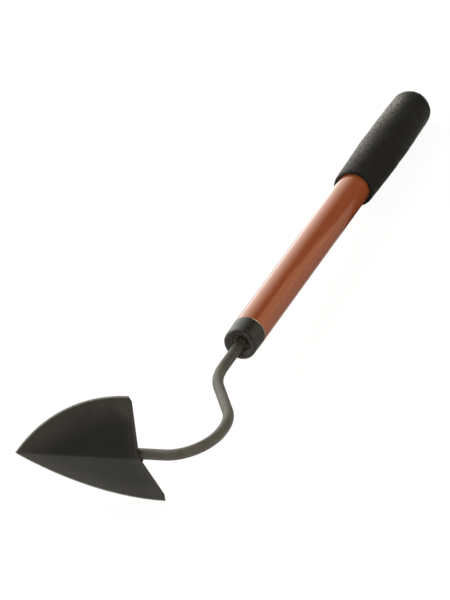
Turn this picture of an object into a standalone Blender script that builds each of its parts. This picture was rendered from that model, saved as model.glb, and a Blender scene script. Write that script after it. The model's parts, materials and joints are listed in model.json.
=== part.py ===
"""A short-handled garden hoe: a folded blade welded to a bent rod, in a tubular handle with a foam grip.

Sizes are in metres. The tool is built in its own frame, with the blade's fold along +X from the
rear edge to the tip, +Y across the blade and +Z on the handle's side of the blade. It is then laid
down the way it comes to rest on level ground: on one curved edge and the end of the grip.
"""

from math import acos, atan2, ceil, cos, pi, radians, sin, sqrt

import bmesh
import bpy
from mathutils import Matrix, Vector

# Clearance between pieces that touch
GAP = 0.0003

# Blade: a plate folded along its middle, ground to an edge on its inner side
BLADE_LENGTH = 0.110
WING_WIDTH = 0.046
WING_ANGLE = radians(17.2)
PLATE_THICKNESS = 0.0025
FOLD_RADIUS = 0.004
WING_CORNER_RADIUS = 0.0008
BEVEL_WIDTH = 0.0045
EDGE_THICKNESS = 0.0005

# Neck: a round rod in the fold, bent back, up, forward and into line with the handle
ROD_DIAMETER = 0.008
ROD_ON_BLADE = 0.032
ROD_BEHIND_BLADE = 0.0195
LOWER_BEND_RADIUS = 0.0285
SWEEP_RADIUS = 0.046
LEAN_ANGLE = radians(48.3)
LEAN_LENGTH = 0.0413
CRANK_RADIUS = 0.051
HANDLE_ANGLE = radians(81.1)
ROD_BELOW_FERRULE = 0.0291
SHANK_LENGTH = 0.085
ROD_END_CHAMFER = 0.0008

# Welds between the rod and the wings
WELD_LEG = 0.0050
WELD_HEIGHT_ANGLE = radians(72.0)
WELD_BEHIND_BLADE = 0.0010
WELD_SHORT_OF_ROD = 0.004
WELD_CROWN = 0.0009
WELD_END_LEG = 0.0012
WELD_RIPPLE = 0.0022
WELD_RIPPLE_DEPTH = 0.0003

# Handle tube
TUBE_DIAMETER = 0.0254
TUBE_WALL = 0.0012
TUBE_SHOWING = 0.2088
TUBE_EDGE_ROUNDING = 0.0005

# Ferrule: an end plug with a collar in line with the tube, a dished face that leads to a recess round
# the rod, and a ribbed spigot inside the tube
COLLAR_LENGTH = 0.019
COLLAR_TAPER = 0.0003
COLLAR_ROUNDING = 0.0023
FACE_RIM = 0.0032
DISH_DEPTH = 0.0022
RECESS_MARGIN = 0.0022
RECESS_DEPTH = 0.0055
SPIGOT_LENGTH = 0.030

# Ribs along both plugs' spigots, and the depth of the bush's groove
RIB_COUNT = 8
RIB_HEIGHT = 0.0012

# Spring pin through the spigot and the shank
PIN_DIAMETER = 0.003
PIN_WALL = 0.0006
PIN_SLOT = 0.0008
PIN_SHORT_OF_TUBE = 0.0006

# Bush that steadies the shank's end
BUSH_LENGTH = 0.012
BUSH_SHORT_OF_SHANK = 0.004

# Plug in the tube's top end
PLUG_HEAD_THICKNESS = 0.002
PLUG_SPIGOT_LENGTH = 0.014
PLUG_WALL = 0.0018

# Foam grip: a barrel-shaped sleeve with a closed, rounded end
GRIP_LENGTH = 0.1328
GRIP_MOUTH_WALL = 0.0028
GRIP_BELLY_WALL = 0.0041
GRIP_TOP_WALL = 0.0030
GRIP_END_THICKNESS = 0.008
GRIP_END_ROUNDING = 0.0102
GRIP_LIP_ROUNDING = 0.001

# Densities in kg per cubic metre, for the mass centre that the resting pose depends on
STEEL_DENSITY = 7850.0
PLASTIC_DENSITY = 1100.0
FOAM_DENSITY = 300.0

# The side of the tool that is let down first
START_DOWN = (0.0, -1.0, 0.0)

# How finely round shapes are divided
ROUND_SIDES = 48
ROD_SIDES = 28
PIN_SIDES = 16
BEND_STEP = radians(5.0)
BEND_ROWS = 3
WING_ROWS = 24
WELD_ROD_STEPS = 4
WELD_FACE_STEPS = 4
WELD_STEPS_PER_RIPPLE = 4
GRIP_STEPS = 16

ROD_RADIUS = ROD_DIAMETER / 2
TUBE_RADIUS = TUBE_DIAMETER / 2
TUBE_BORE = TUBE_RADIUS - TUBE_WALL
SPIGOT_RADIUS = TUBE_BORE - GAP
TUBE_START = COLLAR_LENGTH + GAP
GRIP_START = TUBE_START + TUBE_SHOWING
GRIP_END = GRIP_START + GRIP_LENGTH
PLUG_TOP = GRIP_END - GRIP_END_THICKNESS - GAP
TUBE_END = PLUG_TOP - PLUG_HEAD_THICKNESS - GAP
PIN_PLACE = TUBE_START + SPIGOT_LENGTH / 2


def clear_scene():
    for existing in list(bpy.data.objects):
        bpy.data.objects.remove(existing, do_unlink=True)


def make_material(name, colour, metallic, roughness):
    material = bpy.data.materials.new(name)
    material.use_nodes = True
    shader = material.node_tree.nodes["Principled BSDF"]
    shader.inputs["Base Color"].default_value = (*colour, 1.0)
    shader.inputs["Metallic"].default_value = metallic
    shader.inputs["Roughness"].default_value = roughness
    material.diffuse_color = (*colour, 1.0)
    return material


def make_object(name, shape, material, parent, sharp_angle=radians(35.0)):
    """A node from a bmesh, with its normals out, smooth on round faces and sharp at edges."""
    bmesh.ops.recalc_face_normals(shape, faces=shape.faces)
    mesh = bpy.data.meshes.new(name)
    shape.to_mesh(mesh)
    shape.free()
    mesh.shade_smooth()
    mesh.set_sharp_from_angle(angle=sharp_angle)
    mesh.materials.append(material)
    made = bpy.data.objects.new(name, mesh)
    made.parent = parent
    bpy.context.scene.collection.objects.link(made)
    return made


def skin(shape, rings, loop=False):
    """Faces between rings of equally many points; a ring of one point is a pole."""
    made = [[shape.verts.new(point) for point in ring] for ring in rings]
    pairs = list(zip(made, made[1:]))
    if loop:
        pairs.append((made[-1], made[0]))
    for first, second in pairs:
        count = max(len(first), len(second))
        for i in range(count):
            j = (i + 1) % count
            corners = [first[i % len(first)], first[j % len(first)]]
            corners += [second[j % len(second)], second[i % len(second)]]
            corners = list(dict.fromkeys(corners))
            if len(corners) > 2:
                shape.faces.new(corners)
    return made


def turned(profile, sides, ribs=0):
    """A turned solid. Its profile of (radius, height, rib) starts and ends on the axis, or is a closed loop."""
    shape = bmesh.new()
    rings = []
    for radius, height, rib in profile:
        if radius == 0.0:
            rings.append([(0.0, 0.0, height)])
            continue
        ring = []
        for i in range(sides):
            angle = 2 * pi * i / sides
            on_rib = ribs and (i * ribs) % sides < ribs
            reach = radius + (rib if on_rib else 0.0)
            ring.append((reach * cos(angle), reach * sin(angle), height))
        rings.append(ring)
    skin(shape, rings, loop=profile[0][0] > 0.0)
    return shape


def plain(*points):
    return [(radius, height, 0.0) for radius, height in points]


def rounding(centre_radius, centre_height, radius, start, end, steps):
    """Profile points on a quarter or other arc, its angles counted from straight outwards."""
    angles = [start + (end - start) * i / steps for i in range(steps + 1)]
    points = [(centre_radius + radius * cos(a), centre_height + radius * sin(a)) for a in angles]
    return plain(*points)


def cut(target, name, shape):
    """Takes a hidden cutter's shape out of the target."""
    cutter = make_object(name, shape, target.data.materials[0], target.parent)
    cutter.hide_render = True
    cutter.display_type = "WIRE"
    difference = target.modifiers.new(name, "BOOLEAN")
    difference.operation = "DIFFERENCE"
    difference.solver = "EXACT"
    difference.object = cutter


def folded(along, across, depth):
    """A point of the folded plate, from its place on the blank's outer face and its depth below it."""
    side = -1.0 if across < 0.0 else 1.0
    bent = min(abs(across), FOLD_RADIUS * WING_ANGLE)
    flat = abs(across) - bent
    angle = bent / FOLD_RADIUS
    y = FOLD_RADIUS * sin(angle) + flat * cos(angle) - depth * sin(angle)
    z = FOLD_RADIUS * (1.0 - cos(angle)) + flat * sin(angle) + depth * cos(angle)
    return Vector((along, side * y, z))


def blade_edge_radius():
    """Radius of the curved edge: it leaves the wing's corner along the fold and ends at the tip."""
    return ((BLADE_LENGTH - WING_CORNER_RADIUS) ** 2 + WING_WIDTH**2) / (2 * WING_WIDTH)


def front_edge(across, inset):
    radius = blade_edge_radius()
    from_centre = across + radius - WING_WIDTH
    return WING_CORNER_RADIUS + sqrt(max(0.0, (radius - inset) ** 2 - from_centre**2))


def rear_edge(across):
    into_corner = across - (WING_WIDTH - WING_CORNER_RADIUS)
    if into_corner <= 0.0:
        return 0.0
    return WING_CORNER_RADIUS - sqrt(max(0.0, WING_CORNER_RADIUS**2 - into_corner**2))


def blade_section(share, bend_share):
    """Corners of the plate at one place between the fold (0) and the wing's corner (1)."""
    bend = FOLD_RADIUS * WING_ANGLE
    if share <= bend_share:
        outer = inner = bend * share / bend_share
    else:
        beyond = (share - bend_share) / (1.0 - bend_share)
        beyond = 1.0 - (1.0 - beyond) ** 2
        outer = bend + (WING_WIDTH - bend) * beyond
        inner = bend + (WING_WIDTH - BEVEL_WIDTH - bend) * beyond
    return [
        (rear_edge(outer), outer, 0.0),
        (front_edge(outer, 0.0), outer, 0.0),
        (front_edge(outer, 0.0), outer, EDGE_THICKNESS),
        (front_edge(inner, BEVEL_WIDTH), inner, PLATE_THICKNESS),
        (rear_edge(inner), inner, PLATE_THICKNESS),
    ]


def make_blade(parent, material):
    rows = BEND_ROWS + WING_ROWS
    rings = []
    for i in range(-rows, rows + 1):
        side = -1.0 if i < 0 else 1.0
        section = blade_section(abs(i) / rows, BEND_ROWS / rows)
        rings.append([folded(along, side * across, depth) for along, across, depth in section])
    shape = bmesh.new()
    made = skin(shape, rings)
    shape.faces.new(made[0])
    shape.faces.new(made[-1])
    bmesh.ops.remove_doubles(shape, verts=shape.verts, dist=1e-6)
    return make_object("blade", shape, material, parent, radians(15.0))


def rod_height_over_fold():
    """Height of the rod's axis where it lies on both wings, above the fold's outer line."""
    fold_set_back = FOLD_RADIUS * (1.0 / cos(WING_ANGLE) - 1.0)
    return (PLATE_THICKNESS + GAP + ROD_RADIUS) / cos(WING_ANGLE) - fold_set_back


def neck_route():
    """Points along the rod's axis in the XZ plane, each with its heading as an angle from +X."""
    place = Vector((ROD_ON_BLADE, rod_height_over_fold()))
    route = [(place.copy(), pi)]

    def straight(length, heading):
        nonlocal place
        place = place + length * Vector((cos(heading), sin(heading)))
        route.append((place.copy(), heading))

    def bend(radius, start, end):
        nonlocal place
        turn = 1.0 if end > start else -1.0
        centre = place + turn * radius * Vector((-sin(start), cos(start)))
        steps = ceil(abs(end - start) / BEND_STEP)
        for i in range(1, steps + 1):
            heading = start + (end - start) * i / steps
            place = centre - turn * radius * Vector((-sin(heading), cos(heading)))
            route.append((place.copy(), heading))

    straight(ROD_ON_BLADE + ROD_BEHIND_BLADE, pi)
    bend(LOWER_BEND_RADIUS, pi, pi / 2)
    bend(SWEEP_RADIUS, pi / 2, LEAN_ANGLE)
    straight(LEAN_LENGTH, LEAN_ANGLE)
    bend(CRANK_RADIUS, LEAN_ANGLE, HANDLE_ANGLE)
    straight(ROD_BELOW_FERRULE, HANDLE_ANGLE)
    face = place.copy()
    straight(SHANK_LENGTH, HANDLE_ANGLE)
    return route, face


def rod_ring(place, heading, radius, shift=0.0):
    centre = Vector((place.x + shift * cos(heading), 0.0, place.y + shift * sin(heading)))
    up = Vector((-sin(heading), 0.0, cos(heading)))
    across = Vector((0.0, 1.0, 0.0))
    angles = [2 * pi * i / ROD_SIDES for i in range(ROD_SIDES)]
    return [centre + radius * (cos(a) * across + sin(a) * up) for a in angles]


def make_neck(parent, material):
    route, _ = neck_route()
    first, last = route[0], route[-1]
    small = ROD_RADIUS - ROD_END_CHAMFER
    rings = [rod_ring(*first, small), rod_ring(*first, ROD_RADIUS, ROD_END_CHAMFER)]
    rings += [rod_ring(place, heading, ROD_RADIUS) for place, heading in route[1:-1]]
    rings += [rod_ring(*last, ROD_RADIUS, -ROD_END_CHAMFER), rod_ring(*last, small)]
    shape = bmesh.new()
    made = skin(shape, rings)
    shape.faces.new(made[0])
    shape.faces.new(made[-1])
    return make_object("neck", shape, material, parent)


def weld_section(swell):
    """Outline of a fillet weld on one wing, as distance out along the wing and height above it."""
    offset = ROD_RADIUS + GAP
    root_angle = acos((offset - GAP) / offset)
    top_angle = root_angle + (WELD_HEIGHT_ANGLE - root_angle) * swell
    outline = []
    for i in range(WELD_ROD_STEPS + 1):
        angle = root_angle + (top_angle - root_angle) * i / WELD_ROD_STEPS
        outline.append((offset * sin(angle), offset - offset * cos(angle)))
    top = outline[-1]
    toe = (outline[0][0] + (WELD_LEG - outline[0][0]) * swell, GAP)
    away = Vector((top[1] - toe[1], toe[0] - top[0])).normalized()
    for i in range(1, WELD_FACE_STEPS):
        share = i / WELD_FACE_STEPS
        out = WELD_CROWN * swell * sin(pi * share)
        outline.append((
            top[0] + (toe[0] - top[0]) * share + out * away.x,
            top[1] + (toe[1] - top[1]) * share + out * away.y,
        ))
    outline.append(toe)
    return outline


def make_weld(name, side, parent, material):
    start, end = -WELD_BEHIND_BLADE, ROD_ON_BLADE - WELD_SHORT_OF_ROD
    steps = ceil((end - start) / WELD_RIPPLE * WELD_STEPS_PER_RIPPLE)
    under_rod = Vector((0.0, side * sin(WING_ANGLE), -cos(WING_ANGLE)))
    outwards = Vector((0.0, side * cos(WING_ANGLE), sin(WING_ANGLE)))
    foot = Vector((0.0, 0.0, rod_height_over_fold())) + (ROD_RADIUS + GAP) * under_rod
    lost_at_end = 1.0 - (WELD_END_LEG / WELD_LEG) ** 2
    rings = []
    for i in range(steps + 1):
        along = start + (end - start) * i / steps
        share = 2.0 * i / steps - 1.0
        taper = sqrt(1.0 - lost_at_end * share**6)
        ripple = WELD_RIPPLE_DEPTH / WELD_LEG * cos(2 * pi * (along - start) / WELD_RIPPLE)
        place = foot + Vector((along, 0.0, 0.0))
        section = weld_section(taper * (1.0 + ripple))
        rings.append([place + out * outwards - up * under_rod for out, up in section])
    shape = bmesh.new()
    made = skin(shape, rings)
    shape.faces.new(made[0])
    shape.faces.new(made[-1])
    return make_object(name, shape, material, parent)


def cross_hole():
    """Cutter for the spring pin's hole, across the handle's axis."""
    shape = bmesh.new()
    bmesh.ops.create_cone(
        shape,
        cap_ends=True,
        segments=PIN_SIDES,
        radius1=PIN_DIAMETER / 2 + GAP,
        radius2=PIN_DIAMETER / 2 + GAP,
        depth=4 * TUBE_RADIUS,
        matrix=Matrix.Translation((0.0, 0.0, PIN_PLACE)) @ Matrix.Rotation(pi / 2, 4, "X"),
    )
    return shape


def make_ferrule(parent, material):
    bore = ROD_RADIUS + GAP
    recess = bore + RECESS_MARGIN
    face = TUBE_RADIUS - COLLAR_TAPER
    dish = face - FACE_RIM
    core = SPIGOT_RADIUS - RIB_HEIGHT
    spigot_end = TUBE_START + SPIGOT_LENGTH
    profile = plain((bore, spigot_end), (bore, RECESS_DEPTH), (recess, RECESS_DEPTH), (recess, DISH_DEPTH))
    profile += rounding(dish + GAP, GAP, GAP, pi, 3 * pi / 2, 2)
    profile += rounding(face - COLLAR_ROUNDING, COLLAR_ROUNDING, COLLAR_ROUNDING, -pi / 2, 0.0, 5)
    profile += plain((TUBE_RADIUS, COLLAR_LENGTH), (core, COLLAR_LENGTH))
    profile += [(core, TUBE_START + RIB_HEIGHT, 0.0), (core, TUBE_START + 2 * RIB_HEIGHT, RIB_HEIGHT)]
    profile += [(core, spigot_end - RIB_HEIGHT, RIB_HEIGHT), (core, spigot_end, 0.0)]
    ferrule = make_object("ferrule", turned(profile, ROUND_SIDES, RIB_COUNT), material, parent)
    cut(ferrule, "ferrule_pin_hole", cross_hole())
    return ferrule


def make_cross_pin(parent, material):
    """A rolled spring pin: a tube with a slot along it."""
    outer = PIN_DIAMETER / 2
    inner = outer - PIN_WALL
    half_length = TUBE_BORE - PIN_SHORT_OF_TUBE
    half_slot = PIN_SLOT / 2 / outer
    angles = [half_slot + (2 * pi - 2 * half_slot) * i / PIN_SIDES for i in range(PIN_SIDES + 1)]
    section = [(outer * cos(a), outer * sin(a)) for a in angles]
    section += [(inner * cos(a), inner * sin(a)) for a in reversed(angles)]
    shape = bmesh.new()
    rings = [[(x, end * half_length, PIN_PLACE + z) for x, z in section] for end in (-1, 1)]
    made = skin(shape, rings)
    for ring in made:
        for i in range(PIN_SIDES):
            opposite = 2 * PIN_SIDES + 1 - i
            shape.faces.new([ring[i], ring[i + 1], ring[opposite - 1], ring[opposite]])
    return make_object("cross_pin", shape, material, parent)


def make_shank_bush(parent, material):
    bore = ROD_RADIUS + GAP
    top = SHANK_LENGTH - BUSH_SHORT_OF_SHANK
    bottom = top - BUSH_LENGTH
    groove = SPIGOT_RADIUS - RIB_HEIGHT
    third = BUSH_LENGTH / 3
    profile = plain(
        (bore, top),
        (bore, bottom),
        (SPIGOT_RADIUS, bottom),
        (SPIGOT_RADIUS, bottom + third),
        (groove, bottom + third),
        (groove, top - third),
        (SPIGOT_RADIUS, top - third),
        (SPIGOT_RADIUS, top),
    )
    return make_object("shank_bush", turned(profile, ROUND_SIDES), material, parent)


def make_handle_tube(parent, material):
    edge = TUBE_EDGE_ROUNDING
    profile = plain((TUBE_BORE, TUBE_END), (TUBE_BORE, TUBE_START))
    profile += rounding(TUBE_RADIUS - edge, TUBE_START + edge, edge, -pi / 2, 0.0, 3)
    profile += rounding(TUBE_RADIUS - edge, TUBE_END - edge, edge, 0.0, pi / 2, 3)
    return make_object("handle_tube", turned(profile, ROUND_SIDES), material, parent)


def make_tube_end_plug(parent, material):
    """A cup-shaped plug: its open spigot points down into the tube, its head covers the tube's end."""
    core = SPIGOT_RADIUS - RIB_HEIGHT
    hollow = core - PLUG_WALL
    head_bottom = PLUG_TOP - PLUG_HEAD_THICKNESS
    bottom = TUBE_END - PLUG_SPIGOT_LENGTH
    edge = PLUG_HEAD_THICKNESS / 2
    profile = plain((0.0, head_bottom), (hollow, head_bottom), (hollow, bottom), (core, bottom))
    profile += [(core, bottom + RIB_HEIGHT, RIB_HEIGHT), (core, TUBE_END - RIB_HEIGHT, RIB_HEIGHT)]
    profile += plain((core, head_bottom), (TUBE_RADIUS, head_bottom))
    profile += plain((TUBE_RADIUS, PLUG_TOP - edge), (TUBE_RADIUS - edge, PLUG_TOP), (0.0, PLUG_TOP))
    return make_object("tube_end_plug", turned(profile, ROUND_SIDES, RIB_COUNT), material, parent)


def grip_radius(share):
    """Outer radius of the foam between its mouth (0) and its top (1), swelling to a belly half way."""
    end_wall = GRIP_MOUTH_WALL if share < 0.5 else GRIP_TOP_WALL
    wall = end_wall + (GRIP_BELLY_WALL - end_wall) * sin(pi * share)
    return TUBE_RADIUS + wall


def make_foam_grip(parent, material):
    bore = TUBE_RADIUS + GAP
    bore_end = PLUG_TOP + GAP
    lip = GRIP_LIP_ROUNDING
    body_start = GRIP_START + lip
    body_end = GRIP_END - GRIP_END_ROUNDING
    profile = plain((0.0, bore_end), (bore, bore_end))
    profile += rounding(bore + lip, GRIP_START + lip, lip, pi, 3 * pi / 2, 3)
    profile += rounding(grip_radius(0.0) - lip, GRIP_START + lip, lip, -pi / 2, 0.0, 3)
    for i in range(1, GRIP_STEPS):
        share = i / GRIP_STEPS
        profile += plain((grip_radius(share), body_start + (body_end - body_start) * share))
    top_radius = grip_radius(1.0)
    profile += rounding(top_radius - GRIP_END_ROUNDING, body_end, GRIP_END_ROUNDING, 0.0, pi / 2, 8)
    profile += plain((0.0, GRIP_END))
    return make_object("foam_grip", turned(profile, ROUND_SIDES), material, parent)


def mass_centre_and_hull(densities):
    """The pieces' common mass centre, and their convex hull."""
    bpy.context.view_layer.update()
    graph = bpy.context.evaluated_depsgraph_get()
    mass = 0.0
    moment = Vector((0.0, 0.0, 0.0))
    hull = bmesh.new()
    for piece, density in densities.items():
        evaluated = piece.evaluated_get(graph)
        mesh = evaluated.to_mesh()
        mesh.calc_loop_triangles()
        corners = [piece.matrix_world @ vertex.co for vertex in mesh.vertices]
        for triangle in mesh.loop_triangles:
            a, b, c = (corners[i] for i in triangle.vertices)
            share = density * a.dot(b.cross(c)) / 6.0
            mass += share
            moment += share * (a + b + c) / 4.0
        for corner in corners:
            hull.verts.new(corner)
        evaluated.to_mesh_clear()
    bmesh.ops.convex_hull(hull, input=list(hull.verts))
    bmesh.ops.recalc_face_normals(hull, faces=hull.faces)
    return moment / mass, hull


def resting_normal(hull, centre):
    """Rolls the hull from face to face until the mass centre is over the face it stands on."""
    face = max(hull.faces, key=lambda candidate: candidate.normal.dot(Vector(START_DOWN)))
    for _ in hull.faces:
        middle = face.calc_center_median()
        overhangs = []
        for edge in face.edges:
            first, second = (vertex.co for vertex in edge.verts)
            outwards = (second - first).cross(face.normal).normalized()
            if outwards.dot(middle - first) > 0.0:
                outwards.negate()
            overhangs.append((outwards.dot(centre - first), edge))
        overhang, edge = max(overhangs, key=lambda pair: pair[0])
        if overhang <= 0.0:
            break
        face = next(other for other in edge.link_faces if other != face)
    return face.normal.copy()


def lay_down(tool, densities):
    """Rests the tool on the ground, handle along +X, bounding box centred over the origin."""
    centre, hull = mass_centre_and_hull(densities)
    level = resting_normal(hull, centre).rotation_difference(Vector((0.0, 0.0, -1.0))).to_matrix()
    handle = level @ Vector((cos(HANDLE_ANGLE), 0.0, sin(HANDLE_ANGLE)))
    turned_level = Matrix.Rotation(-atan2(handle.y, handle.x), 3, "Z") @ level
    corners = [turned_level @ vertex.co for vertex in hull.verts]
    hull.free()
    low, high = (Vector(map(end, zip(*corners))) for end in (min, max))
    shift = Vector(((low.x + high.x) / 2.0, (low.y + high.y) / 2.0, low.z))
    tool.matrix_world = Matrix.Translation(-shift) @ turned_level.to_4x4()


def main():
    clear_scene()
    black_steel = make_material("black_steel", (0.045, 0.043, 0.036), 0.6, 0.45)
    weld_steel = make_material("weld_steel", (0.06, 0.057, 0.05), 0.7, 0.5)
    pin_steel = make_material("pin_steel", (0.5, 0.5, 0.5), 1.0, 0.3)
    orange_paint = make_material("orange_paint", (0.45, 0.085, 0.03), 0.3, 0.3)
    black_plastic = make_material("black_plastic", (0.03, 0.028, 0.024), 0.0, 0.5)
    black_foam = make_material("black_foam", (0.018, 0.018, 0.019), 0.0, 0.9)

    tool = bpy.data.objects.new("tool", None)
    handle = bpy.data.objects.new("handle_axis", None)
    for empty in (tool, handle):
        bpy.context.scene.collection.objects.link(empty)
    _, face = neck_route()
    lean = Matrix.Rotation(pi / 2 - HANDLE_ANGLE, 4, "Y")
    to_handle = Matrix.Translation((face.x, 0.0, face.y)) @ lean
    handle.parent = tool
    handle.matrix_local = to_handle

    neck = make_neck(tool, black_steel)
    neck_hole = cross_hole()
    bmesh.ops.transform(neck_hole, matrix=to_handle, verts=neck_hole.verts)
    cut(neck, "neck_pin_hole", neck_hole)
    steel = [
        make_blade(tool, black_steel),
        neck,
        make_weld("weld_left", 1.0, tool, weld_steel),
        make_weld("weld_right", -1.0, tool, weld_steel),
        make_cross_pin(handle, pin_steel),
        make_handle_tube(handle, orange_paint),
    ]
    plastic = [
        make_ferrule(handle, black_plastic),
        make_shank_bush(handle, black_plastic),
        make_tube_end_plug(handle, black_plastic),
    ]
    foam = [make_foam_grip(handle, black_foam)]
    densities = dict.fromkeys(steel, STEEL_DENSITY)
    densities |= dict.fromkeys(plastic, PLASTIC_DENSITY)
    densities |= dict.fromkeys(foam, FOAM_DENSITY)
    lay_down(tool, densities)


main()
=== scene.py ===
"""The garden hoe, dressed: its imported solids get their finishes, and the foam grip its real surface."""

import json
from math import cos, pi, radians, sin

import bmesh
import bpy
import numpy as np
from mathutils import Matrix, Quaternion, Vector, noise


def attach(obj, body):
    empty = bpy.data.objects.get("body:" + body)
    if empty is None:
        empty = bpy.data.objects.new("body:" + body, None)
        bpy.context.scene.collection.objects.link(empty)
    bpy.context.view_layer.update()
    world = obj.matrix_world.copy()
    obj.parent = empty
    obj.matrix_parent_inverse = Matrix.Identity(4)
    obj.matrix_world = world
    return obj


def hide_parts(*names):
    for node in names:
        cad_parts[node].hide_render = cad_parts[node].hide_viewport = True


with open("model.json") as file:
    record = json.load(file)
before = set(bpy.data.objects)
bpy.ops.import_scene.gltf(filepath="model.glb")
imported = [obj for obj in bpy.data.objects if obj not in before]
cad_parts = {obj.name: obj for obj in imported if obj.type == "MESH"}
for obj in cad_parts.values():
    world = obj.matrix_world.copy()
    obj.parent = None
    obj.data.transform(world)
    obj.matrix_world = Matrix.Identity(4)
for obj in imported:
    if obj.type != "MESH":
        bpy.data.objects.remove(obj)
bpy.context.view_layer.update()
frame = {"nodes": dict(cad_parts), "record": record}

# The camera stands far off and looks down along the handle from the blade's end, so the hoe is
# drawn with hardly any perspective. The long side of the picture is the sensor's full width.
camera_data = bpy.data.cameras.new("camera")
camera_data.sensor_width = 36.0
camera_data.lens = 300.56
camera_data.clip_start = 0.5
camera_data.clip_end = 30.0
camera = bpy.data.objects.new("camera", camera_data)
camera.location = (-2.77037, -1.70426, 1.85594)
camera.rotation_euler = (radians(59.1273), radians(16.1576), radians(-67.5054))
bpy.context.scene.collection.objects.link(camera)
bpy.context.scene.camera = camera

# Blade: a steel plate, blanked, ground along its two curved edges and pressed to a fold. It is
# sprayed with a thin satin black that work has dulled towards the edges; the ground edges are bare.
# A thin strip along the rear edge is lightened further, as a painted light fringe.
# Lengths are in metres, and a pair of them says where a change starts and where it ends.
BLADE_BLACK = ((0.006, 0.0058, 0.0049), (0.0135, 0.0126, 0.0104))
BLADE_DULLED = (0.05, 0.046, 0.038)
BLADE_SCRATCHED = (0.12, 0.115, 0.1)
BLADE_STEEL = ((0.3, 0.29, 0.26), (0.46, 0.45, 0.42))
BLADE_RELIEF = 0.00006
FOLD_HALF = 0.001
CORNER_FROM_REAR = (0.0, 0.02)
CORNER_FROM_EDGE = (0.0, 0.022)
HANDLED_REACH = (0.0, 0.012)
CHAFED_AND_LIT_EDGE_REACH = (0.0002, 0.0012)
SCUFF_REACH = (0.002, 0.024)
SCRATCH_REACH = (0.006, 0.03)
SCRATCH_SLANT = 0.35
GROUND_REACH = (0.0004, 0.0015)
GROUND_RAGGED = 0.0024
# A Mix node's colour sockets go by number, because its other kinds of value have the same names.
MIX_COLOURS = (6, 7)
MIX_RESULT = 2


class Wire:
    """A socket of a shader's nodes. Arithmetic on it adds Math nodes; add() adds any other node."""

    def __init__(self, tree, socket):
        self.tree = tree
        self.socket = socket

    def add(self, kind, settings, inputs, output=0):
        node = self.tree.nodes.new("ShaderNode" + kind)
        for name, value in settings.items():
            setattr(node, name, value)
        for name, value in inputs.items():
            if isinstance(value, Wire):
                self.tree.links.new(value.socket, node.inputs[name])
            else:
                node.inputs[name].default_value = value
        return Wire(self.tree, node.outputs[output])

    def maths(self, operation, *others):
        return self.add("Math", {"operation": operation}, dict(enumerate((self, *others))))

    def __add__(self, other):
        return self.maths("ADD", other)

    def __sub__(self, other):
        return self.maths("SUBTRACT", other)

    def __rsub__(self, other):
        return self.add("Math", {"operation": "SUBTRACT"}, {0: other, 1: self})

    def __mul__(self, other):
        return self.maths("MULTIPLY", other)

    __radd__ = __add__
    __rmul__ = __mul__

    def rise(self, start, end):
        """0 up to start, 1 from end, smooth between."""
        inputs = {"Value": self, "From Min": start, "From Max": end}
        return self.add("MapRange", {"interpolation_type": "SMOOTHSTEP"}, inputs)

    def fall(self, start, end):
        """1 up to start, 0 from end, smooth between."""
        return 1.0 - self.rise(start, end)

    def vector(self, operation, *others, output=0):
        inputs = dict(enumerate((self, *others)))
        return self.add("VectorMath", {"operation": operation}, inputs, output)

    def along(self, direction, origin=(0.0, 0.0, 0.0)):
        """How far this place is from origin, measured along direction."""
        return self.vector("SUBTRACT", origin).vector("DOT_PRODUCT", direction, output="Value")

    def away(self, point):
        """How far this place is from point."""
        return self.vector("DISTANCE", point, output="Value")

    def away_from_line(self, direction, point):
        """How far this place is from the line through point along direction."""
        swept = self.vector("SUBTRACT", point).vector("CROSS_PRODUCT", direction)
        return swept.vector("LENGTH", output="Value")

    def drawn_out(self, direction, factor):
        """This place, squeezed along direction so that a pattern laid by it is drawn out that way."""
        share = self.along(direction) * (1.0 - 1.0 / factor)
        shift = self.add("VectorMath", {"operation": "SCALE"}, {0: direction, "Scale": share})
        return self.vector("SUBTRACT", shift)

    def noise(self, size, detail=2.0, roughness=0.5):
        """Clouds from 0 to 1, whose lumps are about as large as size."""
        inputs = {"Vector": self, "Scale": 1.0 / size, "Detail": detail, "Roughness": roughness}
        return self.add("TexNoise", {}, inputs)

    def cells(self, size):
        """Distance from the middles of cells that are about as large as size, 0 there."""
        return self.add("TexVoronoi", {}, {"Vector": self, "Scale": 1.0 / size}, "Distance")

    def between(self, first, second):
        """A colour mixed from two by this value."""
        inputs = {"Factor": self}
        for socket, colour in zip(MIX_COLOURS, (first, second)):
            inputs[socket] = colour if isinstance(colour, Wire) else (*colour, 1.0)
        return self.add("Mix", {"data_type": "RGBA"}, inputs, MIX_RESULT)


def new_finish(name):
    """An empty material, with its shader and the place on the object that its patterns are laid by."""
    material = bpy.data.materials.new(name)
    material.use_nodes = True
    tree = material.node_tree
    place = Wire(tree, tree.nodes.new("ShaderNodeTexCoord").outputs["Object"])
    return material, tree.nodes["Principled BSDF"], place


def set_shader(shader, place, values, height, depth):
    """Fills the shader's sockets. height is a relief from 0 to 1 that is depth high."""
    normal = place.add("Bump", {}, {"Height": height, "Distance": depth, "Strength": 1.0})
    for name, value in {**values, "Normal": normal}.items():
        if isinstance(value, Wire):
            place.tree.links.new(value.socket, shader.inputs[name])
        else:
            shader.inputs[name].default_value = value


def put_on(name, material):
    """Gives a CAD node this finish alone."""
    slots = frame["nodes"][name].data.materials
    slots.clear()
    slots.append(material)


def corners_of(name):
    """A CAD node's vertices, a row each."""
    return np.array([vertex.co for vertex in frame["nodes"][name].data.vertices])


def unit(way):
    """This direction, one metre long."""
    return way / np.linalg.norm(way)


mounts = {mount["name"]: mount for mount in frame["record"]["mounts"]}
left_out = np.array(mounts["wing_left_face"]["axis"])
right_out = np.array(mounts["wing_right_face"]["axis"])
leftward = unit(left_out - right_out)
fold_way = unit(np.cross(right_out, left_out))
blade_points = corners_of("blade")
up_fold = blade_points @ fold_way
blade_length = up_fold.max() - up_fold.min()
tip = blade_points[up_fold.argmax()]
fold_foot = tip - fold_way * blade_length


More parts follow.
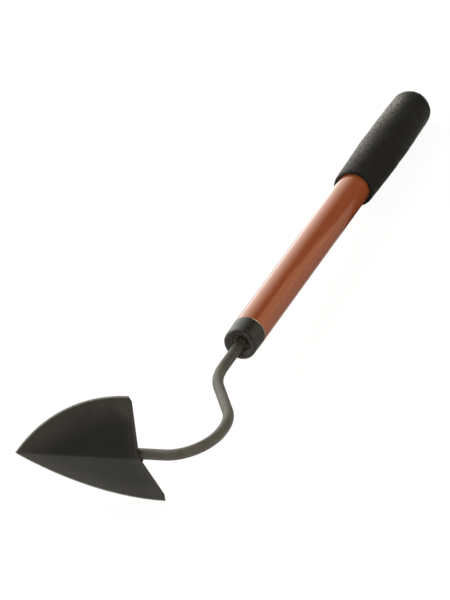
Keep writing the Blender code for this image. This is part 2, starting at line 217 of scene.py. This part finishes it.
def ground_edge(across):
    """The middle and radius of the circle that a wing's curved edge runs along, in the wing's plane."""
    width = ((blade_points - tip) @ across).max()
    radius = (blade_length**2 + width**2) / (2 * width)
    return fold_foot + across * (width - radius), radius


left_middle, left_radius = ground_edge(np.cross(fold_way, left_out))
right_middle, right_radius = ground_edge(np.cross(right_out, fold_way))

blade_black, shader, place = new_finish("blade_black")
on_left = place.along(leftward, tip).rise(-FOLD_HALF, FOLD_HALF)
from_left = left_radius - place.away(left_middle)
from_right = right_radius - place.away(right_middle)
from_edge = from_left * on_left + from_right * (1.0 - on_left)
from_rear = place.along(fold_way, fold_foot)
clouds = place.noise(size=0.016, detail=4.0)
speckle = place.noise(size=0.0009, detail=3.0, roughness=0.65)
rolled = place.drawn_out(fold_way, factor=9.0).noise(size=0.0016, detail=3.0)
slanted = place.drawn_out(fold_way + SCRATCH_SLANT * leftward, factor=26.0)
scratch = slanted.noise(size=0.0006).rise(0.6, 0.75)
at_corner = from_rear.fall(*CORNER_FROM_REAR) * from_edge.fall(*CORNER_FROM_EDGE)
# Along the rear edge the paint is lighter: wider handling wear, and at the very edge a thin strip that is
# a painted light fringe.
handled_and_lit_edge = from_rear.fall(*HANDLED_REACH) * (0.1 + clouds * 0.5) + from_rear.fall(*CHAFED_AND_LIT_EDGE_REACH) * 0.8
scuffed = from_edge.fall(*SCUFF_REACH) * (0.35 + clouds * 0.9) + at_corner * 1.5 + handled_and_lit_edge
bare = (from_edge + (speckle - 0.5) * GROUND_RAGGED).fall(*GROUND_REACH)
paint = (clouds * 0.55 + speckle * 0.25 + rolled * 0.2).between(*BLADE_BLACK)
dulled = scuffed.between(paint, BLADE_DULLED)
marked = (scratch * from_edge.fall(*SCRATCH_REACH) * 0.25).between(dulled, BLADE_SCRATCHED)
set_shader(
    shader,
    place,
    {
        "Base Color": bare.between(marked, rolled.between(*BLADE_STEEL)),
        "Metallic": bare * 0.75,
        "Roughness": 0.4 + clouds * 0.14 + speckle * 0.08 - rolled * 0.06,
        "Specular IOR Level": 0.2,
    },
    height=speckle * 0.6 + rolled * 0.3 - scratch * 0.25 - bare * 0.3,
    depth=BLADE_RELIEF,
)
put_on("blade", blade_black)

# Neck: a round steel rod, bent cold and sprayed with the blade. The spray lies thicker and a little
# rougher on it, with olive and brown patches. It is grimy by the ferrule, with painted shade where it
# enters the ferrule's face and painted light inside the recess, and the weld's heat has dulled the end
# at the blade.
NECK_BLACK = ((0.08, 0.0755, 0.056), (0.13, 0.125, 0.103))
NECK_OLIVE = ((0.075, 0.068, 0.051), (0.105, 0.097, 0.076))
NECK_GRIME = (0.035, 0.032, 0.024)
NECK_PAINTED_SHADING = ((0.04, 0.037, 0.028), (0.1, 0.09, 0.068))
NECK_HEATED = (0.055, 0.046, 0.04)
NECK_CHIPPED = (0.16, 0.15, 0.13)
NECK_RELIEF = 0.00007
HEAT_REACH = (0.01, 0.03)
GRIME_REACH = (0.01, 0.05)
PAINTED_SHADE_START = (-0.003, 0.0)
PAINTED_LIGHT_INSIDE = (0.0, 0.003)

ferrule_face = mounts["ferrule_face"]["pos_m"]
handle_way = -np.array(mounts["ferrule_face"]["axis"])

neck_black, shader, place = new_finish("neck_black")
clouds = place.noise(size=0.009, detail=4.0)
patches = place.noise(size=0.021, detail=3.0)
speckle = place.noise(size=0.0008, detail=3.0, roughness=0.65)
chips = place.cells(size=0.0035).fall(0.1, 0.16) * patches.rise(0.5, 0.6)
near_weld = place.away(fold_foot).fall(*HEAT_REACH)
near_ferrule = place.away(ferrule_face).fall(*GRIME_REACH)
past_face = place.along(handle_way, ferrule_face)
paint = (clouds * 0.6 + speckle * 0.4).between(*NECK_BLACK)
tinted = patches.rise(0.42, 0.62).between(paint, clouds.between(*NECK_OLIVE))
grimy = (near_ferrule * 0.7).between(tinted, NECK_GRIME)
# Painted shade darkens the rod just before the ferrule's face, and painted light lifts it inside the
# recess.
painted_light_in_recess = past_face.rise(*PAINTED_LIGHT_INSIDE).between(*NECK_PAINTED_SHADING)
painted_shade_by_face = past_face.rise(*PAINTED_SHADE_START).between(grimy, painted_light_in_recess)
heated = (near_weld * 0.6).between(painted_shade_by_face, NECK_HEATED)
set_shader(
    shader,
    place,
    {
        "Base Color": (chips * 0.5).between(heated, NECK_CHIPPED),
        "Metallic": chips * 0.4,
        "Roughness": 0.42 + clouds * 0.16 + speckle * 0.1,
    },
    height=speckle * 0.8 + clouds * 0.4 - chips * 0.4,
    depth=NECK_RELIEF,
)
put_on("neck", neck_black)

# Welds: two beads laid by hand between rod and wings, painted over but still showing the heat's
# brown tint in their hollows and small beads of spatter.
WELD_CRUST = ((0.028, 0.024, 0.02), (0.06, 0.054, 0.046))
WELD_SPATTER = (0.1, 0.088, 0.072)
WELD_RELIEF = 0.00018

weld_black, shader, place = new_finish("weld_black")
ripple = place.drawn_out(leftward, factor=3.0).noise(size=0.0017)
speckle = place.noise(size=0.0005, detail=3.0, roughness=0.6)
spatter = place.cells(size=0.0012).fall(0.12, 0.3)
set_shader(
    shader,
    place,
    {
        "Base Color": (spatter * 0.4).between(ripple.between(*WELD_CRUST), WELD_SPATTER),
        "Metallic": 0.3,
        "Roughness": 0.38 + speckle * 0.25,
    },
    height=ripple * 0.5 + spatter * 0.4 + speckle * 0.2,
    depth=WELD_RELIEF,
)
put_on("weld_left", weld_black)
put_on("weld_right", weld_black)

# Ferrule: an injection-moulded end plug in black nylon. Its collar is satin smooth with a fine spark
# grain, faint flow clouds and the thin parting line of the two mould halves on either side. Its dished
# face and the recess round the rod are lightened with painted light where shade falls in them, more
# on the recess's upper side. The face's rim is rubbed grey, and that grey also paints a highlight on it.
NYLON_BLACK = ((0.0135, 0.013, 0.0112), (0.0235, 0.0225, 0.0192))
NYLON_RUBBED = (0.045, 0.043, 0.038)
NYLON_RIM_WEAR_AND_HIGHLIGHT = (0.075, 0.072, 0.066)
DISH_PAINTED_LIGHT = (0.09, 0.085, 0.07)
RECESS_PAINTED_LIGHT = ((0.2, 0.18, 0.14), (0.1, 0.092, 0.073))
FERRULE_RELIEF = 0.00005
MOULD_SIDE = (0.0, 0.45, 1.0)
UPPER_RIGHT = (0.0, -0.7, 0.7)
PARTING_WIDTH = (0.00006, 0.00018)
DISH_RADIUS = (0.0098, 0.0114)
RECESS_RADIUS = (0.0063, 0.0069)
RIM_RADIUS = (0.0106, 0.0114)
RIM_DEPTH = (0.0003, 0.0009)
RECESS_LIGHT_REACH = (-0.001, 0.004)

tube_points = corners_of("handle_tube")
tube_middle = tube_points.mean(axis=0)
tube_mouth = tube_middle + handle_way * ((tube_points - tube_middle) @ handle_way).min()
parting_way = unit(np.cross(handle_way, MOULD_SIDE))

ferrule_black, shader, place = new_finish("ferrule_black")
flow = place.drawn_out(handle_way, factor=4.0).noise(size=0.007, detail=3.0)
grain = place.noise(size=0.00035, roughness=0.7)
rubbed = place.noise(size=0.0024, detail=4.0, roughness=0.7).rise(0.56, 0.72)
parting = place.along(parting_way, tube_mouth).maths("ABSOLUTE").fall(*PARTING_WIDTH)
from_axis = place.away_from_line(handle_way, tube_mouth)
past_face = place.along(handle_way, ferrule_face)
lower_right = place.along(np.cross(handle_way, UPPER_RIGHT), tube_mouth)
nylon = (flow * 0.6 + grain * 0.4).between(*NYLON_BLACK)
rubbed_nylon = (rubbed * 0.35).between(nylon, NYLON_RUBBED)
# Painted light: the dish and the recess below it are lightened where they lie in shade.
in_dish = from_axis.fall(*DISH_RADIUS) * (0.4 + rubbed * 0.6)
dished = in_dish.between(rubbed_nylon, DISH_PAINTED_LIGHT)
# The grey rim is partly wear and partly a painted highlight.
on_rim = from_axis.rise(*RIM_RADIUS) * past_face.fall(*RIM_DEPTH) * 0.8
worn_and_highlit = on_rim.between(dished, NYLON_RIM_WEAR_AND_HIGHLIGHT)
# Painted light in the recess, lighter on its upper side than at its lower right.
recess_lightened = lower_right.rise(*RECESS_LIGHT_REACH).between(*RECESS_PAINTED_LIGHT)
set_shader(
    shader,
    place,
    {
        "Base Color": from_axis.fall(*RECESS_RADIUS).between(worn_and_highlit, recess_lightened),
        "Roughness": 0.24 + flow * 0.08 + rubbed * 0.12 + grain * 0.04,
        "Specular IOR Level": 0.33,
    },
    height=grain * 0.35 + rubbed * 0.15 + parting,
    depth=FERRULE_RELIEF,
)
put_on("ferrule", ferrule_black)

# Cross pin: a slotted spring pin, rolled from oiled spring-steel strip that shows its drawing lines.
# It is driven through the ferrule's spigot and the neck's shank, and the tube keeps it in.
PIN_STEEL = ((0.24, 0.22, 0.2), (0.5, 0.49, 0.47))
PIN_RELIEF = 0.00002
STRIP_WAY = (1.0, 0.0, 0.0)

pin_steel, shader, place = new_finish("pin_steel")
drawn = place.drawn_out(STRIP_WAY, factor=8.0).noise(size=0.0004, detail=3.0)
oil = place.noise(size=0.003, detail=3.0)
set_shader(
    shader,
    place,
    {
        "Base Color": (oil * 0.7 + drawn * 0.3).between(*PIN_STEEL),
        "Metallic": 1.0,
        "Roughness": 0.22 + drawn * 0.25,
    },
    height=drawn,
    depth=PIN_RELIEF,
)
put_on("cross_pin", pin_steel)

# Shank bush: a turned ring of grey nylon round the rod's end. Its surface has the fine rings of the
# lathe and pale stress marks. The rings' wave is given in radians for each metre.
BUSH_GREY = ((0.05, 0.05, 0.052), (0.11, 0.11, 0.112))
BUSH_RELIEF = 0.00003
RING_WAVE = 9000.0

bush_nylon, shader, place = new_finish("bush_nylon")
turned = (place.along(handle_way, tube_mouth) * RING_WAVE).maths("SINE")
blush = place.noise(size=0.002, detail=3.0)
set_shader(
    shader,
    place,
    {
        "Base Color": (blush * 0.8).between(*BUSH_GREY),
        "Roughness": 0.45 + blush * 0.15,
    },
    height=turned * 0.5 + blush * 0.5,
    depth=BUSH_RELIEF,
)
put_on("shank_bush", bush_nylon)

# Tube end plug: a moulded cup in plain black plastic, matt and a little dusty. It is pressed into the
# tube's top end, so that the cut edge doesn't punch through the foam.
PLUG_BLACK = ((0.012, 0.012, 0.0125), (0.04, 0.04, 0.039))
PLUG_RELIEF = 0.00004

plug_black, shader, place = new_finish("plug_black")
dust = place.noise(size=0.004, detail=4.0, roughness=0.6)
grain = place.noise(size=0.0005, roughness=0.7)
set_shader(
    shader,
    place,
    {
        "Base Color": (dust * 0.7 + grain * 0.3).between(*PLUG_BLACK),
        "Roughness": 0.5 + dust * 0.2,
    },
    height=grain,
    depth=PLUG_RELIEF,
)
put_on("tube_end_plug", plug_black)

# Tube: thin-walled steel, sprayed in a glossy burnt orange. The paint has a slight orange peel, fine
# rub marks along the tube and specks of dust, and it stops at the cut edge, where bare metal shows.
# The gloss keeps the paint's hue where it is seen from the front, under a thinner clear layer.
TUBE_ORANGE = ((0.338, 0.078, 0.0255), (0.388, 0.095, 0.0335))
TUBE_RUBBED = (0.5, 0.2, 0.11)
TUBE_DUST = (0.5, 0.34, 0.24)
TUBE_STEEL = ((0.4, 0.36, 0.31), (0.55, 0.51, 0.46))
TUBE_GLOSS = (1.0, 0.55, 0.25, 1.0)
TUBE_RELIEF = 0.000018
CUT_REACH = (0.0002, 0.00055)
CUT_RAGGED = 0.0005

tube_orange, shader, place = new_finish("tube_orange")
clouds = place.noise(size=0.028, detail=3.0)
peel = place.noise(size=0.0016)
fine = place.noise(size=0.0004, roughness=0.7)
lines = place.drawn_out(handle_way, factor=40.0).noise(size=0.0007).rise(0.6, 0.72)
rubs = lines * place.noise(size=0.012).rise(0.45, 0.65)
dust = place.cells(size=0.0022).fall(0.05, 0.1)
bare = (place.along(handle_way, tube_mouth) + (fine - 0.5) * CUT_RAGGED).fall(*CUT_REACH)
paint = (clouds * 0.7 + fine * 0.3).between(*TUBE_ORANGE)
rubbed = (rubs * 0.25).between(paint, TUBE_RUBBED)
dusty = (dust * 0.3).between(rubbed, TUBE_DUST)
set_shader(
    shader,
    place,
    {
        "Base Color": bare.between(dusty, fine.between(*TUBE_STEEL)),
        "Metallic": 0.04 + bare * 0.7,
        "Roughness": 0.08 + clouds * 0.04 + rubs * 0.12 + dust * 0.15 + bare * 0.2,
        "Specular IOR Level": 0.47,
        "Specular Tint": TUBE_GLOSS,
        "Coat Weight": 0.42,
        "Coat Roughness": 0.08,
    },
    height=peel * 0.8 + fine * 0.12 - rubs * 0.1 + dust * 0.2,
    depth=TUBE_RELIEF,
)
put_on("handle_tube", tube_orange)

# Foam grip: a sleeve of closed-cell rubber foam with a closed round end, pushed over the tube with
# soapy water. Its ground surface is a close pebble of burst cells, with slow lumps where the foam was
# denser. Its mouth sags a little to one side, and it has a small flat where it lies on the ground.
FOAM_STEP = 0.00055
FOAM_SIDES = 190
FOAM_RADIUS = 0.0165
BORE_DEPTH = 0.03
MOUTH_INSIDE = 0.004
MOUTH_CLEARANCE = 0.00005
MOUTH_SAG = 0.0022
SAG_REACH = 0.016
LUMP_SIZE = 0.011
LUMP_HEIGHT = 0.00028
PEBBLE_SIZE = 0.0013
PEBBLE_HEIGHT = 0.00016
PIT_SPACING = 0.0026
PIT_SHARE = 0.34
PIT_DEPTH = 0.00022
FOAM_BLACK = ((0.0138, 0.014, 0.0136), (0.0255, 0.0258, 0.0248))
FOAM_DUST_AND_SHEEN = (0.33, 0.325, 0.312)
FOAM_BURST = (0.005, 0.005, 0.005)
FOAM_RELIEF = 0.0002
DUST_AND_SHEEN_FOCUS = 6.0
SHEEN_PATCH_START = (0.27, 0.31)
SHEEN_PATCH_FINISH = (0.318, 0.34)


def outer_chain(points):
    """The outer side of the outline round a piece's (height, radius) points, from low to high."""
    chain = []
    for height, radius in sorted(points):
        while len(chain) > 1:
            back, last = chain[-2:]
            turn = (last[0] - back[0]) * (radius - back[1]) - (last[1] - back[1]) * (height - back[0])
            if turn < 0.0:
                break
            chain.pop()
        chain.append((height, radius))
    return chain


grip_points = corners_of("foam_grip") - tube_mouth
heights = grip_points @ handle_way
radii = np.linalg.norm(grip_points - np.outer(heights, handle_way), axis=1)
bore = radii[heights < heights.min() + BORE_DEPTH].min() + MOUTH_CLEARANCE
outside = outer_chain(list(zip(heights.tolist(), radii.tolist())))
mouth = outside[0][0]
outline = np.array([(mouth + MOUTH_INSIDE, bore), (mouth + MOUTH_CLEARANCE, bore), *outside])
lengths = np.concatenate(([0.0], np.linalg.norm(np.diff(outline, axis=0), axis=1).cumsum()))
rows = np.arange(0.0, lengths[-1] - FOAM_STEP, FOAM_STEP)
row_heights = np.interp(rows, lengths, outline[:, 0])
row_radii = np.interp(rows, lengths, outline[:, 1])
row_facings = np.stack((np.gradient(row_radii), -np.gradient(row_heights)), axis=1)
row_facings /= -np.linalg.norm(row_facings, axis=1)[:, None]
sideways = unit(np.cross(handle_way, (0.0, 0.0, 1.0)))
upward = np.cross(sideways, handle_way)


def foam_relief(point):
    """How far the foam's surface stands out of the plain sleeve at point, less than 0 in a pit."""
    lump = noise.noise(point / LUMP_SIZE) * LUMP_HEIGHT
    pebble = noise.noise(point / PEBBLE_SIZE) * PEBBLE_HEIGHT
    distances, _ = noise.voronoi(point / PIT_SPACING)
    pit = max(0.0, PIT_SHARE - distances[0]) / PIT_SHARE * PIT_DEPTH
    return lump + pebble - pit


foam_mesh = bpy.data.meshes.new("foam_sleeve")
shape = bmesh.new()
rings = []
for height, radius, (facing_up, facing_out) in zip(row_heights, row_radii, row_facings):
    near_mouth = max(0.0, 1.0 - (height - mouth) / SAG_REACH) ** 2
    ring = []
    for i in range(FOAM_SIDES):
        angle = 2 * pi * i / FOAM_SIDES
        out = sideways * cos(angle) + upward * sin(angle)
        point = Vector(tube_mouth + handle_way * height + out * radius)
        sag = MOUTH_SAG * max(0.0, -cos(angle)) ** 2 * near_mouth
        facing = out * facing_out + handle_way * facing_up
        point += Vector(facing * foam_relief(point) - handle_way * sag)
        point.z = max(point.z, 0.0)
        ring.append(shape.verts.new(point))
    rings.append(ring)
for ring, next_ring in zip(rings, rings[1:]):
    for i in range(FOAM_SIDES):
        after = (i + 1) % FOAM_SIDES
        shape.faces.new((ring[i], ring[after], next_ring[after], next_ring[i])).smooth = True
crown = shape.verts.new(tube_mouth + handle_way * outline[-1][0])
for i in range(FOAM_SIDES):
    shape.faces.new((rings[-1][i], rings[-1][(i + 1) % FOAM_SIDES], crown)).smooth = True
bmesh.ops.recalc_face_normals(shape, faces=shape.faces)
shape.to_mesh(foam_mesh)
shape.free()
foam_sleeve = bpy.data.objects.new("foam_sleeve", foam_mesh)
bpy.context.scene.collection.objects.link(foam_sleeve)

foam_black, shader, place = new_finish("foam_black")
clouds = place.noise(size=0.012, detail=4.0)
pebble = place.noise(size=0.0011, detail=3.0, roughness=0.7)
burst = place.cells(size=0.0017).fall(0.16, 0.34)
# Painted sheen: the side facing up and to the left, where light grazes the foam, is lightened with pale
# flecks that also read as dust, most in a patch near the grip's end.
lit_side_way = upward * 0.87 - sideways * 0.5
toward_lit_side = (place.along(lit_side_way, tube_mouth) * (1.0 / FOAM_RADIUS)).maths("MAXIMUM", 0.0)
up_grip = place.along(handle_way, tube_mouth)
sheen_patch_near_end = up_grip.rise(*SHEEN_PATCH_START) * up_grip.fall(*SHEEN_PATCH_FINISH)
threads = place.noise(size=0.0014, detail=4.0, roughness=0.75).rise(0.4, 0.62)
dust_and_sheen_flecks = threads * (0.3 + clouds * 1.2) * (1.0 + sheen_patch_near_end * 1.3)
rubber = (clouds * 0.6 + pebble * 0.4).between(*FOAM_BLACK)
# Painted sheen and dust: pale flecks mixed in on the lit upper side.
dusty = (toward_lit_side.maths("POWER", DUST_AND_SHEEN_FOCUS) * (dust_and_sheen_flecks + 0.15)).between(rubber, FOAM_DUST_AND_SHEEN)
set_shader(
    shader,
    place,
    {
        "Base Color": (burst * 0.35).between(dusty, FOAM_BURST),
        "Roughness": 0.62 + pebble * 0.25,
        "Specular IOR Level": 0.1,
        "Sheen Weight": 0.35,
        "Sheen Roughness": 0.22,
    },
    height=pebble * 0.7 + clouds * 0.3 - burst * 0.5,
    depth=FOAM_RELIEF,
)
foam_mesh.materials.append(foam_black)
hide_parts("foam_grip")
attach(foam_sleeve, "root")
put_on("foam_grip", foam_black)

# Floor: a wide sheet of white board. The camera sees it close to white, with the hoe's soft shadow.
# In the hoe's gloss it carries painted shadow, darkest to the right of the handle and past a slanting
# line, and a painted glow, though no lamp is there, behind the hoe and in front of the blade. These
# give the tube its bands of light.
FLOOR_HALF = 6.0
FLOOR_BOARD = (0.86, 0.86, 0.86, 1.0)
FLOOR_SHADE = (0.03, 0.03, 0.03, 1.0)
FLOOR_BRIGHT = (0.98, 0.98, 0.94, 1.0)
BRIGHT_STRENGTH = 2.3
WHITE_STRENGTH = 1.08
WHITE_SHARE = 0.86
TO_THE_BACK = (0.777, 0.629, 0.0)
TO_THE_RIGHT = (0.629, -0.777, 0.0)
BEHIND_START = (0.1, 0.18)
BEHIND_END = (0.15, 0.35)
UP_HANDLE = (1.0, 0.0, 0.0)
IN_FRONT_END = (-0.2, -0.08)
IN_FRONT_SHARE = 0.26
LINE_POINT = (0.155, -0.1, 0.0)
PAST_LINE = (0.6225, 0.7826, 0.0)
LINE_BLUR = (-0.004, 0.008)
RIGHT_OF_HANDLE = (0.0, -1.0, 0.0)
BESIDE_START = (0.0, 0.01)
BESIDE_END = (0.024, 0.04)
BESIDE_FRONT = (-0.12, -0.1)

floor_mesh = bpy.data.meshes.new("floor")
corners = [(x * FLOOR_HALF, y * FLOOR_HALF, 0.0) for x, y in ((-1, -1), (1, -1), (1, 1), (-1, 1))]
floor_mesh.from_pydata(corners, [], [(0, 1, 2, 3)])
floor = bpy.data.objects.new("floor", floor_mesh)
bpy.context.scene.collection.objects.link(floor)
floor_white = bpy.data.materials.new("floor_white")
floor_white.use_nodes = True
tree = floor_white.node_tree
tree.nodes.clear()
path = tree.nodes.new("ShaderNodeLightPath")
by_camera = Wire(tree, path.outputs["Is Camera Ray"])
by_mirror = Wire(tree, path.outputs["Is Glossy Ray"])
spot = Wire(tree, tree.nodes.new("ShaderNodeTexCoord").outputs["Object"])
behind = spot.along(TO_THE_BACK).rise(*BEHIND_START) * spot.along(TO_THE_RIGHT).fall(*BEHIND_END)
in_front = spot.along(UP_HANDLE).fall(*IN_FRONT_END) * IN_FRONT_SHARE
past_line = spot.along(PAST_LINE, LINE_POINT).rise(*LINE_BLUR)
from_handle = spot.along(RIGHT_OF_HANDLE, tube_middle)
by_handle = from_handle.rise(*BESIDE_START) * from_handle.fall(*BESIDE_END)
beside = by_handle * spot.along(UP_HANDLE).rise(*BESIDE_FRONT)
# Painted shadow: in the gloss the floor darkens beside the handle and past the slanting line.
dim = (0.2 + past_line * 0.8 + beside * 0.25) * by_mirror
board = spot.add("BsdfDiffuse", {}, {"Color": FLOOR_BOARD})
shade = spot.add("BsdfDiffuse", {}, {"Color": FLOOR_SHADE})
bright = spot.add("Emission", {}, {"Color": FLOOR_BRIGHT, "Strength": BRIGHT_STRENGTH})
white = spot.add("Emission", {}, {"Strength": WHITE_STRENGTH})
dimmed = spot.add("MixShader", {}, {0: dim, 1: board, 2: shade})
# Painted glow: in the gloss the floor shines behind the hoe and before the blade, with no lamp there.
mirrored = spot.add("MixShader", {}, {0: by_mirror * (behind + in_front), 1: dimmed, 2: bright})
shown = spot.add("MixShader", {}, {0: by_camera * WHITE_SHARE, 1: mirrored, 2: white})
tree.links.new(shown.socket, tree.nodes.new("ShaderNodeOutputMaterial").inputs["Surface"])
floor_mesh.materials.append(floor_white)

# Light: a card to the right, leant over, whose warm glow is the slanting band in the tube's gloss, a
# lamp behind the hoe, a large soft fill on the camera's side, and a broad window behind and to the
# left in a dim room. The camera doesn't see the lamps, and sees the room as white.
LAMP_WARM = (1.0, 0.95, 0.86)
CARD_WARM = (1.0, 0.77, 0.55)
ROOM_WALLS = (0.14, 0.13, 0.115, 1.0)
ROOM_WHITE = (1.0, 1.0, 1.0, 1.0)
WINDOW_PANES = (2.07, 2.04, 1.92, 1.0)
WINDOW_WAY = (0.459, 0.864, 0.208)
WINDOW_GLOW = (0.31, 0.95)
WINDOW_EDGE = (0.3, 0.45)


def soft_box(name, stand, aim, width, height, radiance, colour, lean=0.0):
    """A rectangular lamp whose face looks as bright as radiance says, where 1 is white."""
    data = bpy.data.lights.new(name, "AREA")
    data.shape = "RECTANGLE"
    data.size = width
    data.size_y = height
    data.energy = radiance * pi * width * height
    data.color = colour
    lamp = bpy.data.objects.new(name, data)
    lamp.location = stand
    facing = (Vector(aim) - Vector(stand)).to_track_quat("-Z", "Y")
    lamp.rotation_euler = (facing @ Quaternion((0.0, 0.0, 1.0), lean)).to_euler()
    lamp.visible_camera = False
    bpy.context.scene.collection.objects.link(lamp)


soft_box(
    "card",
    stand=(0.3, -0.482, 0.16),
    aim=(-0.72, -0.232, 0.1),
    width=0.434,
    height=0.32,
    radiance=0.9,
    colour=CARD_WARM,
    lean=radians(-9.0),
)
soft_box(
    "back",
    stand=(0.6, 1.4, 1.2),
    aim=(0.1, 0.0, 0.0),
    width=1.2,
    height=1.2,
    radiance=1.2,
    colour=LAMP_WARM,
)
soft_box(
    "fill",
    stand=(-1.6, -1.9, 2.2),
    aim=(0.0, 0.0, 0.0),
    width=2.4,
    height=2.4,
    radiance=2.4,
    colour=LAMP_WARM,
)

world = bpy.data.worlds.new("room")
world.use_nodes = True
tree = world.node_tree
tree.nodes.clear()
outward = Wire(tree, tree.nodes.new("ShaderNodeTexCoord").outputs["Generated"])
to_window = outward.along(WINDOW_WAY)
window = to_window.rise(*WINDOW_GLOW) * 0.93 + to_window.rise(*WINDOW_EDGE) * 0.07
to_camera = Wire(tree, tree.nodes.new("ShaderNodeLightPath").outputs["Is Camera Ray"])
walls = outward.add("Background", {}, {"Color": ROOM_WALLS})
panes = outward.add("Background", {}, {"Color": WINDOW_PANES})
blank = outward.add("Background", {}, {"Color": ROOM_WHITE})
room = outward.add("MixShader", {}, {0: window, 1: walls, 2: panes})
seen = outward.add("MixShader", {}, {0: to_camera, 1: room, 2: blank})
tree.links.new(seen.socket, tree.nodes.new("ShaderNodeOutputWorld").inputs["Surface"])
bpy.context.scene.world = world
bpy.context.scene.view_settings.view_transform = "Standard"
